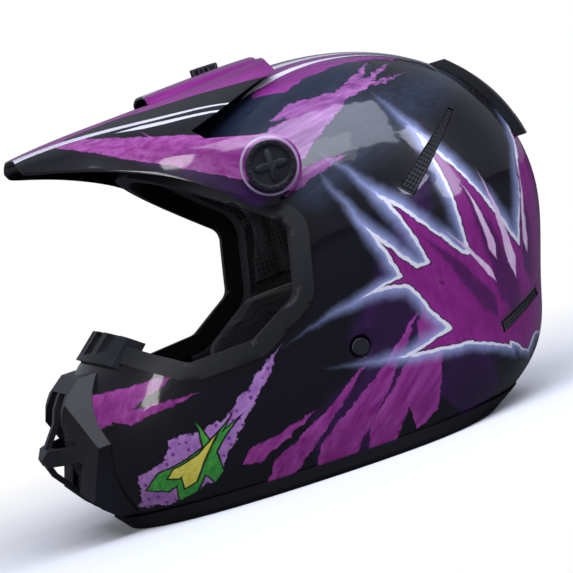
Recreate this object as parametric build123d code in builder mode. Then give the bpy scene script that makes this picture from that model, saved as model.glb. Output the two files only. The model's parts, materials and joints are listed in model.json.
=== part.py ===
from build123d import *
from functools import cache
from math import atan2, cos, hypot, pi, radians, sin
import os

# A youth motocross helmet, standing on its lower rim. Millimetres.
# X runs from the chin (-X) to the back (+X), -Y is the wearer's left, Z is up from the rim.
# The origin is at the level of the rim, under the middle of the whole helmet.

os.makedirs("parts", exist_ok=True)

# ---- shell form ----
shell_wall = 3.5
fit_gap = 0.1                    # between pieces that are pushed together
equator = 128.0                  # height of the widest section
apex_x, apex_z = 32.0, 235.5
equator_front, equator_rear, equator_half_width = -100.0, 168.0, 114.0
skirt = [                        # lower sections: height, front X, rear X, half width
    (0.0, -128.0, 100.0, 88.0),
    (15.0, -140.0, 126.0, 93.0),
    (34.0, -149.0, 143.0, 98.5),
    (60.0, -152.0, 152.0, 103.5),
    (92.0, -138.0, 162.0, 109.0),
]
skirt_widest_x = 24.0
front_roundness, rear_roundness = 2.15, 2.0
crown_side_roundness, crown_length_roundness = 2.4, 2.1
crown_angles = (22, 40, 56, 70, 82)

# ---- rims ----
rim_gap = 2.0                    # the shell's edge stands this far above the table
base_trim_height, base_trim_lip = 9.0, 1.7
port_lip, port_flange, port_proud = 2.0, 8.5, 2.0
guard_half_width, guard_back_x = 57.0, -86.0
mouth_width, mouth_height, mouth_z = 62.0, 39.0, 57.5

# ---- liners ----
foam_outside, foam_inside, foam_rim_inside = 4.2, 31.0, 16.0
comfort = 8.0                    # thickness of the crown liner
neck_roll_depth = 14.0
liner_gap = 0.4
liner_bottom = 14.0
cheek_pad_inside, cheek_pad_rim_inside = 56.0, 38.0
cheek_pad_bottom = 21.0          # leaves room for the strap to swing below

# ---- visor ----
pivot_x, pivot_z = -6.0, 181.0   # tilt axis
pad_radius, pad_face = 14.0, 106.4
washer_radius, washer_thickness = 12.0, 2.6
arm_inside, visor_wall, arm_radius = 109.4, 2.6, 18.5
knob_radius, knob_height = 14.4, 7.2
screw_radius, running_gap = 3.0, 0.05
insert_radius, insert_length = 5.0, 11.0
crown_screw_x, crown_screw_radius = -3.0, 2.5
thumb_radius, thumb_bottom, thumb_height = 8.6, 242.6, 4.6
slot_length, slot_width, slot_shift = 17.5, 6.4, 3.4

# ---- chin strap ----
strap_x, strap_z = 14.0, 67.0    # axis of the strap rivets
strap_width, strap_thickness, strap_y = 24.0, 2.2, 94.0
rivet_radius, rivet_head_radius, rivet_seat = 2.5, 5.4, 102.4
ring_rod, ring_inside, ring_reach = 1.6, 25.4, 22.0
upper_bar, upper_tilt = (-47.5, 12.2), 25.0     # Y and Z of the straight side, and its lean
lower_bar, lower_tilt = (-51.5, 8.6), -2.0

far = 220.0                      # long enough to cut right through


def signed_power(value, power):
    return abs(value) ** power * (1 if value >= 0 else -1)


def section_points(front, rear, half_width, widest, count=20):
    """Points round one level section: a superellipse nose and an elliptical back."""
    points = []
    for i in range(count):
        c, s = cos(2 * pi * i / count), sin(2 * pi * i / count)
        n = rear_roundness if c >= 0 else front_roundness
        length = rear - widest if c >= 0 else widest - front
        points.append((widest + length * signed_power(c, 2 / n), half_width * signed_power(s, 2 / n)))
    return points


@cache
def helmet_form(inset=0.0, rim_inset=None, bottom=0.0):
    """The helmet's outer form, taken inwards by inset at the crown and by rim_inset at the rim."""
    low_inset = inset if rim_inset is None else rim_inset
    levels = []
    for z, front, rear, half_width in skirt:
        step = low_inset + (inset - low_inset) * z / equator
        levels.append((z or bottom, front + step, rear - step, half_width - step, skirt_widest_x))
    rise = apex_z - equator - inset
    for angle in (0, *crown_angles):
        up = sin(radians(angle))
        length = (1 - up ** crown_length_roundness) ** (1 / crown_length_roundness)
        width = (1 - up ** crown_side_roundness) ** (1 / crown_side_roundness)
        levels.append((
            equator + rise * up,
            apex_x - (apex_x - equator_front - inset) * length,
            apex_x + (equator_rear - inset - apex_x) * length,
            (equator_half_width - inset) * width,
            apex_x,
        ))
    faces = []
    for height, front, rear, half_width, widest in levels:
        with BuildSketch(Plane.XY.offset(height)) as level:
            with BuildLine():
                Spline(*section_points(front, rear, half_width, widest), periodic=True)
            make_face()
        faces.append(level.sketch.face())
    with BuildPart() as form:
        loft(sections=[*faces, Vertex(apex_x, 0, equator + rise)])
    return form.part


@cache
def layer(outside, inside, rim_outside=None, rim_inside=None):
    """The skin between two insets of the helmet's form, open below."""
    with BuildPart() as skin:
        add(helmet_form(outside, rim_outside))
        add(helmet_form(inside, rim_inside, bottom=-6.0), mode=Mode.SUBTRACT)
    return skin.part


def block(low, high):
    """A box between two corners."""
    with BuildPart() as solid:
        with Locations(tuple((a + b) / 2 for a, b in zip(low, high))):
            Box(*[b - a for a, b in zip(low, high)])
    return solid.part


def prism(plane, points, low=-far, high=far, grow=0.0):
    """A polygon drawn on a plane through the origin and stretched along the plane's normal."""
    with BuildPart() as solid:
        with BuildSketch(plane.offset(low)):
            with BuildLine():
                Polyline(*points, close=True)
            make_face()
            if grow:
                offset(amount=grow, kind=Kind.INTERSECTION)
        extrude(amount=high - low)
    return solid.part


def rod(radius, side, y_from, y_to, x=pivot_x, z=pivot_z):
    """A cylinder along Y between two distances from the middle, on the left (side -1) or right (side 1)."""
    with BuildPart() as solid:
        with Locations(Location((x, side * (y_from + y_to) / 2, z), (90, 0, 0))):
            Cylinder(radius, abs(y_to - y_from))
    return solid.part


def keep(piece, label):
    """Labels a finished piece and writes it as its node."""
    piece.part.label = label
    export_step(piece.part, f"parts/{label}.step")


def side_name(side):
    return "left" if side < 0 else "right"


# ---- eye port, drawn from the side ----
def port(grow=0.0):
    with BuildPart() as cutter:
        with BuildSketch(Plane.XZ.offset(-far)) as outline:
            with BuildLine():
                Polyline(
                    (-180, 128), (-140, 126), (-113, 109), (-97, 97), (-80, 86), (-42, 88),
                    (-12, 106), (-3, 147), (-70, 200), (-92, 217), (-180, 217), close=True,
                )
            make_face()
            fillet(outline.vertices().filter_by_position(Axis.X, -85, 0), 11)
            if grow:
                offset(amount=grow, kind=Kind.INTERSECTION)
        extrude(amount=2 * far)
    return cutter.part


def mouth_hole(shrink=0.0):
    """The breathing hole in the chin bar, cut along X."""
    with BuildPart() as hole:
        with BuildSketch(Plane.YZ.offset(-far)):
            with Locations((0, mouth_z)):
                RectangleRounded(mouth_width - 2 * shrink, mouth_height - 2 * shrink, 9 - shrink)
        extrude(amount=far - 90)
    return hole.part


# exhaust slots: two seen from the side and one from above, all mirrored left and right
side_slot = [(61, 147), (69, 139), (115, 178), (112, 180)]
low_slot = [(103, 45), (139, 57), (138, 62), (103, 52)]
crown_slot = [(76, 51), (83, 58), (122, 45), (118, 37)]


def slots(grow=0.0, side=0):
    """Cutters for all the exhaust slots, or for those on one side, grouped by name."""
    low, high = (-far, far) if side == 0 else sorted((0, side * far))
    # the XZ plane's normal points to -Y, so its depths are turned round
    found = {
        "side_vent": prism(Plane.XZ, side_slot, -high, -low, grow),
        "low_vent": prism(Plane.XZ, low_slot, -high, -low, grow),
    }
    sides = (-1, 1) if side == 0 else (side,)
    for s in sides:
        outline = [(x, s * y) for x, y in crown_slot]
        found[f"crown_vent_{side_name(s)}"] = prism(Plane.XY, outline, 120, far + 60, grow)
    return found


spoiler_holes = [prism(Plane.YZ, [(s * 9, 163), (s * 34, 163), (s * 30, 176), (s * 9, 179)], 90, far)
                 for s in (-1, 1)]

# ---- outer shell ----
with BuildPart() as outer_shell:
    add(layer(0.0, shell_wall))
    for side in (-1, 1):
        add(rod(pad_radius, side, 94, pad_face))
    add(port(), mode=Mode.SUBTRACT)
    add(mouth_hole(), mode=Mode.SUBTRACT)
    add(block((-far, -far, -9), (far, far, rim_gap)), mode=Mode.SUBTRACT)
    for cutter in (*slots().values(), *spoiler_holes):
        add(cutter, mode=Mode.SUBTRACT)
    for side in (-1, 1):
        add(rod(insert_radius, side, 90, 120), mode=Mode.SUBTRACT)
        add(rod(rivet_radius + fit_gap, side, 80, 120, strap_x, strap_z), mode=Mode.SUBTRACT)
        add(rod(rivet_head_radius + 1.6, side, rivet_seat, 120, strap_x, strap_z), mode=Mode.SUBTRACT)
    with Locations((crown_screw_x, 0, apex_z)):
        Cylinder(insert_radius, 40, mode=Mode.SUBTRACT)
keep(outer_shell, "outer_shell")

# ---- rubber rims ----
with BuildPart() as rim_edge_room:
    add(layer(-fit_gap, shell_wall + fit_gap))
    add(block((-far, -far, -9), (far, far, rim_gap)), mode=Mode.SUBTRACT)

with BuildPart() as base_trim:
    add(layer(-base_trim_lip, shell_wall + base_trim_lip))
    add(block((-far, -far, 0), (far, far, base_trim_height)), mode=Mode.INTERSECT)
    add(rim_edge_room.part, mode=Mode.SUBTRACT)
keep(base_trim, "base_trim")

with BuildPart() as port_edge_room:
    add(layer(-fit_gap, shell_wall + fit_gap))
    add(port(-fit_gap), mode=Mode.SUBTRACT)

guard_zone_low = (-far, -guard_half_width, 82)
guard_zone_high = (guard_back_x, guard_half_width, 132)

with BuildPart() as eyeport_trim:
    add(layer(-port_proud, 6.0))
    add(port(port_flange), mode=Mode.INTERSECT)
    add(port(-port_lip), mode=Mode.SUBTRACT)
    add(port_edge_room.part, mode=Mode.SUBTRACT)
    add(block(guard_zone_low, guard_zone_high), mode=Mode.SUBTRACT)
keep(eyeport_trim, "eyeport_trim")

guard_pockets = []               # shallow air pockets along the guard's top
for middle in (-40, -14, 14, 40):
    with BuildPart() as pocket:
        add(layer(-9.0, -1.2))
        add(block((-far, middle - 9, 107), (-90, middle + 9, 117)), mode=Mode.INTERSECT)
    guard_pockets.append(pocket.part)

with BuildPart() as nose_guard:
    add(layer(-5.0, 8.0))
    add(port(12.0), mode=Mode.INTERSECT)
    add(port(-7.0), mode=Mode.SUBTRACT)
    add(port_edge_room.part, mode=Mode.SUBTRACT)
    inner_low = (-far, -guard_half_width + fit_gap, 82)
    inner_high = (guard_back_x - fit_gap, guard_half_width - fit_gap, 132)
    add(block(inner_low, inner_high), mode=Mode.INTERSECT)
    for pocket_space in guard_pockets:
        add(pocket_space, mode=Mode.SUBTRACT)
keep(nose_guard, "nose_guard")

# ---- mouth vent ----
cover_side = [(-112, 97), (-137, 97), (-147, 89), (-152, 82), (-155, 74), (-169, 56), (-165, 44),
              (-147, 20), (-138, 12), (-112, 12)]
cover_plan = [(-170, -7), (-170, 7), (-160, 32), (-140, 52), (-100, 52), (-100, -52), (-140, -52),
              (-160, -32)]
cover_front = [(-38, 98), (38, 98), (52, 56), (36, 11), (-36, 11), (-52, 56)]
cover_windows = [[(4.5, 61), (4.5, 90), (30, 90), (42, 61)], [(4.5, 51), (42, 51), (30, 19), (4.5, 19)]]

with BuildPart() as cover_hollow:
    add(prism(Plane.XZ, cover_side, grow=-3.4))
    add(prism(Plane.XY, cover_plan, -1, far, grow=-4.0), mode=Mode.INTERSECT)
    add(prism(Plane.YZ, cover_front, grow=-4.5), mode=Mode.INTERSECT)

with BuildPart() as mouth_vent_cover:
    add(prism(Plane.XZ, cover_side))
    add(prism(Plane.XY, cover_plan, -1, far), mode=Mode.INTERSECT)
    add(prism(Plane.YZ, cover_front), mode=Mode.INTERSECT)
    add(cover_hollow.part, mode=Mode.SUBTRACT)
    for window in cover_windows:
        for side in (-1, 1):
            add(prism(Plane.YZ, [(side * y, z) for y, z in window], -far, -90), mode=Mode.SUBTRACT)
    add(helmet_form(-0.2), mode=Mode.SUBTRACT)
keep(mouth_vent_cover, "mouth_vent_cover")

with BuildPart() as mouth_vent_mesh:
    add(layer(0.6, 2.2))
    add(mouth_hole(0.2), mode=Mode.INTERSECT)
keep(mouth_vent_mesh, "mouth_vent_mesh")

# ---- exhaust vents ----
for side in (-1, 1):
    for name, cutter in slots(-0.25, side).items():
        with BuildPart() as vent:
            add(layer(1.0, 3.2))
            add(cutter, mode=Mode.INTERSECT)
        node = name if name.startswith("crown") else f"{name}_{side_name(side)}"
        keep(vent, node)

rear_end = 169.0                 # as far behind the origin as the mouth vent reaches in front of it

with BuildPart() as rear_spoiler:
    add(layer(-6.0, -0.2))
    add(prism(Plane.XZ, [(126, 207), (140, 207), (rear_end, 184), (rear_end, 150), (155, 150), (148, 172)]),
        mode=Mode.INTERSECT)
    add(prism(Plane.XY, [(120, 14), (150, 42), (180, 46), (180, -46), (150, -42), (120, -14)], 100, 230),
        mode=Mode.INTERSECT)
    for cutter in spoiler_holes:
        add(cutter, mode=Mode.SUBTRACT)
keep(rear_spoiler, "rear_spoiler")

# ---- foam liners ----
chin_split_x = -62.0
lined, lined_rim = foam_inside + liner_gap, foam_rim_inside + liner_gap      # where the cloth starts

with BuildPart() as eps_liner:
    add(layer(foam_outside, foam_inside, foam_outside, foam_rim_inside))
    add(block((-far, -far, -9), (far, far, liner_bottom)), mode=Mode.SUBTRACT)
    add(port(9.0), mode=Mode.SUBTRACT)
    add(block((-far, -far, 0), (chin_split_x + 12, far, 140)), mode=Mode.SUBTRACT)
    for side in (-1, 1):
        low_y, high_y = sorted((side * 60, side * 120))
        add(block((strap_x - 30, low_y, 0), (strap_x + 30, high_y, 90)), mode=Mode.SUBTRACT)
        add(rod(pad_radius + 0.6, side, 93, 120), mode=Mode.SUBTRACT)
    with Locations((crown_screw_x, 0, apex_z)):
        Cylinder(insert_radius + 1.5, 30, mode=Mode.SUBTRACT)
keep(eps_liner, "eps_liner")

with BuildPart() as chin_foam:
    add(layer(foam_outside, 20.0, foam_outside, 16.0))
    add(block((-far, -far, liner_bottom), (chin_split_x, far, 86)), mode=Mode.INTERSECT)
    add(port(9.0), mode=Mode.SUBTRACT)
    add(mouth_hole(-2.0), mode=Mode.SUBTRACT)
keep(chin_foam, "chin_foam")

# ---- comfort liners ----
with BuildPart() as crown_liner:
    add(layer(lined, foam_inside + comfort, lined_rim, foam_rim_inside + comfort))
    add(block((-far, -far, 108), (far, far, far + 60)), mode=Mode.INTERSECT)
    add(port(11.0), mode=Mode.SUBTRACT)
keep(crown_liner, "crown_liner")

with BuildPart() as neck_roll:
    add(layer(lined, foam_inside + neck_roll_depth, lined_rim, foam_rim_inside + neck_roll_depth))
    add(block((58, -far, 12), (far, far, 56)), mode=Mode.INTERSECT)
keep(neck_roll, "neck_roll")

for side in (-1, 1):
    with BuildPart() as cheek_pad:
        add(layer(lined, cheek_pad_inside, lined_rim, cheek_pad_rim_inside))
        low_y, high_y = sorted((side * 20, side * 120))
        add(block((-44, low_y, cheek_pad_bottom), (52, high_y, 105)), mode=Mode.INTERSECT)
        add(port(4.0), mode=Mode.SUBTRACT)
    keep(cheek_pad, f"cheek_pad_{side_name(side)}")


# ---- visor ----
def inward(points, depth):
    """An open outline moved towards its own inside by depth, corner by corner."""
    moved = []
    for i, point in enumerate(points):
        normals = []
        for a, b in ((i - 1, i), (i, i + 1)):
            if 0 <= a and b < len(points):
                dy, dz = points[b][0] - points[a][0], points[b][1] - points[a][1]
                normals.append((dz / hypot(dy, dz), -dy / hypot(dy, dz)))
        ny = sum(n[0] for n in normals) / len(normals)
        nz = sum(n[1] for n in normals) / len(normals)
        size = ny * ny + nz * nz
        moved.append((point[0] + depth * ny / size, point[1] + depth * nz / size))
    return moved


def hat_section(x, half, wall):
    """A bent sheet across the helmet at X, from the right-hand half of its outline, ridge first."""
    outside = [(-y, z) for y, z in reversed(half[1:])] + half
    with BuildSketch(Plane.YZ.offset(x)) as hat:
        with BuildLine():
            Polyline(*outside, *reversed(inward(outside, wall)), close=True)
        make_face()
    return hat.sketch.face()


arm_face = arm_inside + visor_wall
visor_stations = {               # X: half outline of the top, from the ridge to the lower edge
    -131: [(0, 226.5), (18, 226.0), (28, 224.0), (34, 221.5), (38, 218.5)],
    -102: [(0, 230.0), (24, 229.3), (42, 225.0), (54, 218.5), (60, 211.0)],
    -70: [(0, 231.5), (28, 230.7), (58, 222.0), (75, 212.0), (82, 199.0)],
    -44: [(0, 232.8), (33, 231.6), (72, 218.5), (98, 203.0), (103, 184.0)],
    -26: [(0, 234.4), (36, 232.8), (80, 217.5), (arm_face, 199.0), (arm_face, 166.0)],
    -8: [(0, 236.2), (38, 234.4), (84, 216.5), (arm_face, 197.0), (arm_face, 159.0)],
    8: [(0, 237.9), (39, 235.9), (85, 216.8), (arm_face, 197.0), (arm_face, 159.0)],
    25: [(0, 239.6), (40, 237.4), (86, 217.0), (arm_face, 197.0), (arm_face, 159.0)],
}
scoop_stations = {
    -44: [(0, 238.6), (17, 238.2), (24, 228.0)],
    -10: [(0, 240.4), (25, 239.4), (34, 228.0)],
    21: [(0, 241.8), (29, 240.8), (36, 230.0)],
}


def crown_slot_cutter():
    with BuildPart() as cutter:
        with BuildSketch(Plane.XY.offset(215)):
            with Locations((crown_screw_x + slot_shift, 0)):
                SlotOverall(slot_length, slot_width)
        extrude(amount=50)
    return cutter.part


with BuildPart() as visor:
    loft(sections=[hat_section(x, half, visor_wall) for x, half in visor_stations.items()], ruled=True)
    add(block((-far, -arm_face, 100), (far, arm_face, far + 60)), mode=Mode.INTERSECT)
    with BuildSketch(Plane.XZ.offset(-far)):
        with BuildLine():
            Polyline((-37, 213), (8, 227), (24, 232), (60, 232), (60, 120), (-37, 120), close=True)
        make_face()
        with Locations((pivot_x, pivot_z)):
            Circle(arm_radius, mode=Mode.SUBTRACT)
        with BuildLine():
            Polyline((-60, 207), (-32, 206), (pivot_x, pivot_z + arm_radius),
                     (pivot_x, pivot_z - arm_radius), (-60, 150), close=True)
        make_face(mode=Mode.SUBTRACT)
    extrude(amount=2 * far, mode=Mode.SUBTRACT)
    add(crown_slot_cutter(), mode=Mode.SUBTRACT)
    for side in (-1, 1):
        add(rod(screw_radius + 0.4, side, 95, 125), mode=Mode.SUBTRACT)
keep(visor, "visor")

with BuildPart() as scoop_blank:
    loft(sections=[hat_section(x, half, 2.0) for x, half in scoop_stations.items()], ruled=True)
    add(visor.part, mode=Mode.SUBTRACT)

with BuildPart() as visor_scoop:
    add(scoop_blank.solids().sort_by(SortBy.VOLUME)[-1])
    add(crown_slot_cutter(), mode=Mode.SUBTRACT)
keep(visor_scoop, "visor_scoop")

# ---- visor fixings ----
knob_face = arm_face + 0.4
for side in (-1, 1):
    with BuildPart() as visor_knob:
        add(rod(screw_radius, side, 97, knob_face + 1))
        add(rod(knob_radius, side, knob_face, knob_face + knob_height))
        outside = visor_knob.faces().sort_by(Axis.Y)[0 if side < 0 else -1]
        fillet(outside.edges(), 2.2)
        for turn in (20, 110):
            with Locations(Location((pivot_x, side * (knob_face + knob_height), pivot_z), (0, turn, 0))):
                Box(19, 4.4, 3.4, mode=Mode.SUBTRACT)
    keep(visor_knob, f"visor_knob_{side_name(side)}")

    with BuildPart() as pivot_washer:
        add(rod(washer_radius, side, pad_face + fit_gap, pad_face + fit_gap + washer_thickness))
        add(rod(screw_radius + 0.4, side, 90, 125), mode=Mode.SUBTRACT)
    keep(pivot_washer, f"pivot_washer_{side_name(side)}")

    with BuildPart() as visor_insert:
        add(rod(insert_radius - running_gap, side, pad_face - 0.4 - insert_length, pad_face - 0.4))
        add(rod(screw_radius + running_gap, side, 90, 125), mode=Mode.SUBTRACT)
    keep(visor_insert, f"visor_insert_{side_name(side)}")

crown_insert_top = 231.0
with BuildPart() as crown_insert:
    with Locations((crown_screw_x, 0, crown_insert_top - 4)):
        Cylinder(insert_radius - running_gap, 8)
        Cylinder(crown_screw_radius + running_gap, 30, mode=Mode.SUBTRACT)
keep(crown_insert, "crown_insert")

with BuildPart() as crown_thumbscrew:
    with Locations((crown_screw_x, 0, (thumb_bottom + 225) / 2)):
        Cylinder(crown_screw_radius, thumb_bottom + 0.5 - 225)
    with BuildSketch(Plane.XY.offset(thumb_bottom)):
        with Locations((crown_screw_x, 0)):
            Circle(thumb_radius * 0.72)
            with PolarLocations(thumb_radius * 0.68, 6):
                Circle(thumb_radius * 0.32)
    extrude(amount=thumb_height)
    fillet(crown_thumbscrew.faces().sort_by(Axis.Z)[-1].edges(), 0.9)
keep(crown_thumbscrew, "crown_thumbscrew")

# ---- chin strap ----
def webbing(points, radii):
    """Flat webbing whose middle line runs through points in Y and Z, across strap_x."""
    with BuildPart() as band:
        with BuildSketch(Plane.YZ.offset(strap_x - strap_width / 2)):
            with BuildLine():
                FilletPolyline(*points, radius=radii)
            trace(line_width=strap_thickness)
        extrude(amount=strap_width)
    return band.part


bar_gap = ring_rod + 0.35 + strap_thickness / 2      # from a ring's bar to the middle of the webbing
turn_y = upper_bar[0] + bar_gap
loop_top, loop_bottom = upper_bar[1] + bar_gap, lower_bar[1] - bar_gap

with BuildPart() as strap_short:
    add(webbing([(-strap_y, 77), (-strap_y, 38), (-80, 14.6), (-60, loop_top), (turn_y, loop_top),
                 (turn_y, loop_bottom), (-57, loop_bottom), (-64, 12.4)],
                [16, 14, 30, 3.4, 3.4, 5]))
    add(rod(rivet_radius + fit_gap, -1, 85, 100, strap_x, strap_z), mode=Mode.SUBTRACT)
keep(strap_short, "chin_strap_short")

with BuildPart() as strap_long:
    add(webbing([(strap_y, 77), (strap_y, 38), (80, 14.6), (40, 6.4), (0, 4.2), (-24, 3.8), (-37, 5.6),
                 (-40.4, 12), (-40.2, 20.2), (-35.4, 20.8), (-31.6, 15.6), (-20, 11.6), (0, 9.2), (22, 9.4)],
                [16, 14, 40, 40, 30, 5, 4, 2.3, 2.3, 5, 12, 14]))
    add(rod(rivet_radius + fit_gap, 1, 85, 100, strap_x, strap_z), mode=Mode.SUBTRACT)
keep(strap_long, "chin_strap_long")


def d_ring(bar, tilt):
    """A wire ring lying in the plane that leans by tilt from its straight bar at (Y, Z)."""
    a = radians(tilt)
    flat = Plane(origin=(strap_x, bar[0], bar[1]), x_dir=(1, 0, 0), z_dir=(0, -sin(a), cos(a)))
    half = ring_inside / 2 + ring_rod
    with BuildPart() as ring:
        with BuildLine(flat) as path:
            start = FilletPolyline((0, 0), (half, 0), (half, ring_reach), (0, ring_reach), radius=[3.0, 9.0])
            FilletPolyline((0, ring_reach), (-half, ring_reach), (-half, 0), (0, 0), radius=[9.0, 3.0])
        with BuildSketch(Plane(origin=start @ 0, z_dir=start % 0)):
            Circle(ring_rod)
        sweep(path=path.wires()[0])
    return ring


keep(d_ring(upper_bar, upper_tilt), "d_ring_upper")
keep(d_ring(lower_bar, lower_tilt), "d_ring_lower")

for side in (-1, 1):
    with BuildPart() as strap_rivet:
        add(rod(rivet_radius, side, 89, rivet_seat + 0.5, strap_x, strap_z))
        add(rod(rivet_head_radius, side, rivet_seat, rivet_seat + 2.0, strap_x, strap_z))
        add(rod(rivet_head_radius, side, 88.6, 90.0, strap_x, strap_z))
        head = strap_rivet.faces().sort_by(Axis.Y)[0 if side < 0 else -1]
        fillet(head.edges(), 1.2)
    keep(strap_rivet, f"strap_rivet_{side_name(side)}")

    with BuildPart() as rivet_bush:
        add(rod(4.5, side, strap_y + strap_thickness / 2 + 0.2, 99.2, strap_x, strap_z))
        add(rod(rivet_radius + fit_gap, side, 80, 120, strap_x, strap_z), mode=Mode.SUBTRACT)
    keep(rivet_bush, f"rivet_bush_{side_name(side)}")

    plate_outside = strap_y - strap_thickness / 2
    with BuildPart() as anchor_plate:
        low_y, high_y = sorted((side * (plate_outside - 1.5), side * plate_outside))
        add(block((strap_x - 10, low_y, strap_z - 10), (strap_x + 10, high_y, strap_z + 10)))
        fillet(anchor_plate.edges().filter_by(Axis.Y), 3)
        add(rod(rivet_radius + fit_gap, side, 80, 120, strap_x, strap_z), mode=Mode.SUBTRACT)
    keep(anchor_plate, f"anchor_plate_{side_name(side)}")

with BuildPart() as snap_cap:
    with Locations((strap_x, 12, 11.35)):
        Cylinder(6.2, 1.7)
    fillet(snap_cap.faces().sort_by(Axis.Z)[-1].edges(), 0.7)
keep(snap_cap, "snap_cap")

with BuildPart() as snap_socket:
    with Locations((strap_x, 12, 7.2)):
        Cylinder(4.8, 1.6)
keep(snap_socket, "snap_socket")
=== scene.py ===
import bpy
import json
import math
from mathutils import Matrix, Vector

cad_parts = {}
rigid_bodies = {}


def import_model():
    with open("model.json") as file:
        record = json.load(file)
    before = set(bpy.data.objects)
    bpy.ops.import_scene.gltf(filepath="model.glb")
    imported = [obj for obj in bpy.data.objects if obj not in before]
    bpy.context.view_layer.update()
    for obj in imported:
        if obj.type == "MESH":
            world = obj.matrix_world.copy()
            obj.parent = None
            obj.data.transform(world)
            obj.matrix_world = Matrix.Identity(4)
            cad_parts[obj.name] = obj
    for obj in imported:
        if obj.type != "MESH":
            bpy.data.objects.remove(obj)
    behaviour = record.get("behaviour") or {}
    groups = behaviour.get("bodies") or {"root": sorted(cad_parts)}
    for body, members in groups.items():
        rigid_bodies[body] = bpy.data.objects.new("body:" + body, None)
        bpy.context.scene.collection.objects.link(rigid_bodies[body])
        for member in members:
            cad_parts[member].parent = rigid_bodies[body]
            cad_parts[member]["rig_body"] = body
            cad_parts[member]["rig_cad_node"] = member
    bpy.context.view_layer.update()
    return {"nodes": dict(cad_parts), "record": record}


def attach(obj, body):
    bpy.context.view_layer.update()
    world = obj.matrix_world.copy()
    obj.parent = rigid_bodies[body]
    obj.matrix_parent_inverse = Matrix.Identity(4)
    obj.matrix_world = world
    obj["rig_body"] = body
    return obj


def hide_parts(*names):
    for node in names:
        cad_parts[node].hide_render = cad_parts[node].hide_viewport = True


mm = 0.001
sides = ((-1, "left"), (1, "right"))

print("loading the frame")
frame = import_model()
nodes = frame["nodes"]
bodyOf = {node: body for body, members in frame["record"]["behaviour"]["bodies"].items() for node in members}
slotOf = {part["node"]: part["material_slot"] for part in frame["record"]["subparts"]}


def colour(code):
    # sRGB hex to the linear values that the shader takes
    parts = [int(code[i:i + 2], 16) / 255 for i in (1, 3, 5)]
    return [p / 12.92 if p <= 0.04045 else ((p + 0.055) / 1.055) ** 2.4 for p in parts] + [1.0]


def addNode(tree, kind, links=(), **settings):
    # links go by socket, or are a row for the first sockets. A colour Mix has its factor at 0, its colours at
    # 6 and 7 and its result at output 2. A Map Range takes a value and the two ends of a band
    node = tree.nodes.new("ShaderNode" + kind)
    for name, value in settings.items():
        setattr(node, name, value)
    for name, value in (links if isinstance(links, dict) else dict(enumerate(links))).items():
        if isinstance(value, bpy.types.NodeSocket):
            tree.links.new(value, node.inputs[name])
        else:
            node.inputs[name].default_value = value
    return node


def newMaterial(name, **sockets):
    material = bpy.data.materials.new(name)
    material.use_nodes = True
    shader = material.node_tree.nodes["Principled BSDF"]
    for socket, value in sockets.items():
        shader.inputs[socket.replace("_", " ")].default_value = value
    return material, material.node_tree, shader


def millimetres(tree):
    # Object coordinates in millimetres, so that pattern sizes read as real sizes
    place = addNode(tree, "TexCoord").outputs["Object"]
    return addNode(tree, "VectorMath", {0: place, 1: (1000, 1000, 1000)}, operation="MULTIPLY").outputs[0]


# Artwork lies in X and Z on the side of the shell and in X and Y on top.
def layAt(angle, onTop):
    turn = math.radians(angle)
    return (0, 0, turn) if onTop else (0, -turn, 0)


# a stroke is (along, across, angle, length, width, bend), in millimetres and degrees: a tapered brush mark
# that starts at a point
def strokeField(tree, vector, stroke, onTop):
    along, across, angle, length, width, bend = stroke
    place = (along, across, 0) if onTop else (along, 0, across)
    local = addNode(tree, "Mapping", {"Vector": vector, "Location": place, "Rotation": layAt(angle, onTop)},
                    vector_type="TEXTURE")
    split = addNode(tree, "SeparateXYZ", {0: local.outputs[0]})
    u = split.outputs[0]
    v = split.outputs[1 if onTop else 2]
    t = addNode(tree, "Math", {0: u, 1: length}, operation="DIVIDE").outputs[0]
    tip = addNode(tree, "Math", {0: 1.0, 1: t}, operation="SUBTRACT").outputs[0]
    root = addNode(tree, "Math", {0: t, 1: 5.0, 2: 1.0}, operation="MULTIPLY_ADD").outputs[0]
    taper = addNode(tree, "Math", {0: tip, 1: root}, operation="MINIMUM").outputs[0]
    half = addNode(tree, "Math", {0: taper, 1: width}, operation="MULTIPLY").outputs[0]
    square = addNode(tree, "Math", {0: u, 1: u}, operation="MULTIPLY").outputs[0]
    bent = addNode(tree, "Math", {0: square, 1: -bend, 2: v}, operation="MULTIPLY_ADD").outputs[0]
    off = addNode(tree, "Math", {0: bent}, operation="ABSOLUTE").outputs[0]
    return addNode(tree, "Math", {0: half, 1: off}, operation="SUBTRACT").outputs[0]


def artField(tree, vector, strokes, onTop, soften):
    # how far inside the nearest stroke a point is, in millimetres
    field = None
    for stroke in strokes:
        one = strokeField(tree, vector, stroke, onTop)
        if field is None:
            field = one
        elif soften:
            field = addNode(tree, "Math", {0: field, 1: one, 2: soften}, operation="SMOOTH_MAX").outputs[0]
        else:
            field = addNode(tree, "Math", {0: field, 1: one}, operation="MAXIMUM").outputs[0]
    return field


def tear(tree, vector, amount, size, shift):
    # pushes the artwork about by amount, so that its edges look torn
    moved = addNode(tree, "VectorMath", {0: vector, 1: (shift, shift, shift)}, operation="ADD").outputs[0]
    noise = addNode(tree, "TexNoise", {"Vector": moved, "Scale": 1 / size, "Detail": 3.0, "Roughness": 0.65})
    centred = addNode(tree, "VectorMath", {0: noise.outputs["Color"], 1: (0.5, 0.5, 0.5)},
                      operation="SUBTRACT").outputs[0]
    pushed = addNode(tree, "VectorMath", {0: centred, "Scale": amount}, operation="SCALE").outputs[0]
    return addNode(tree, "VectorMath", {0: vector, 1: pushed}, operation="ADD").outputs[0]


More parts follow.
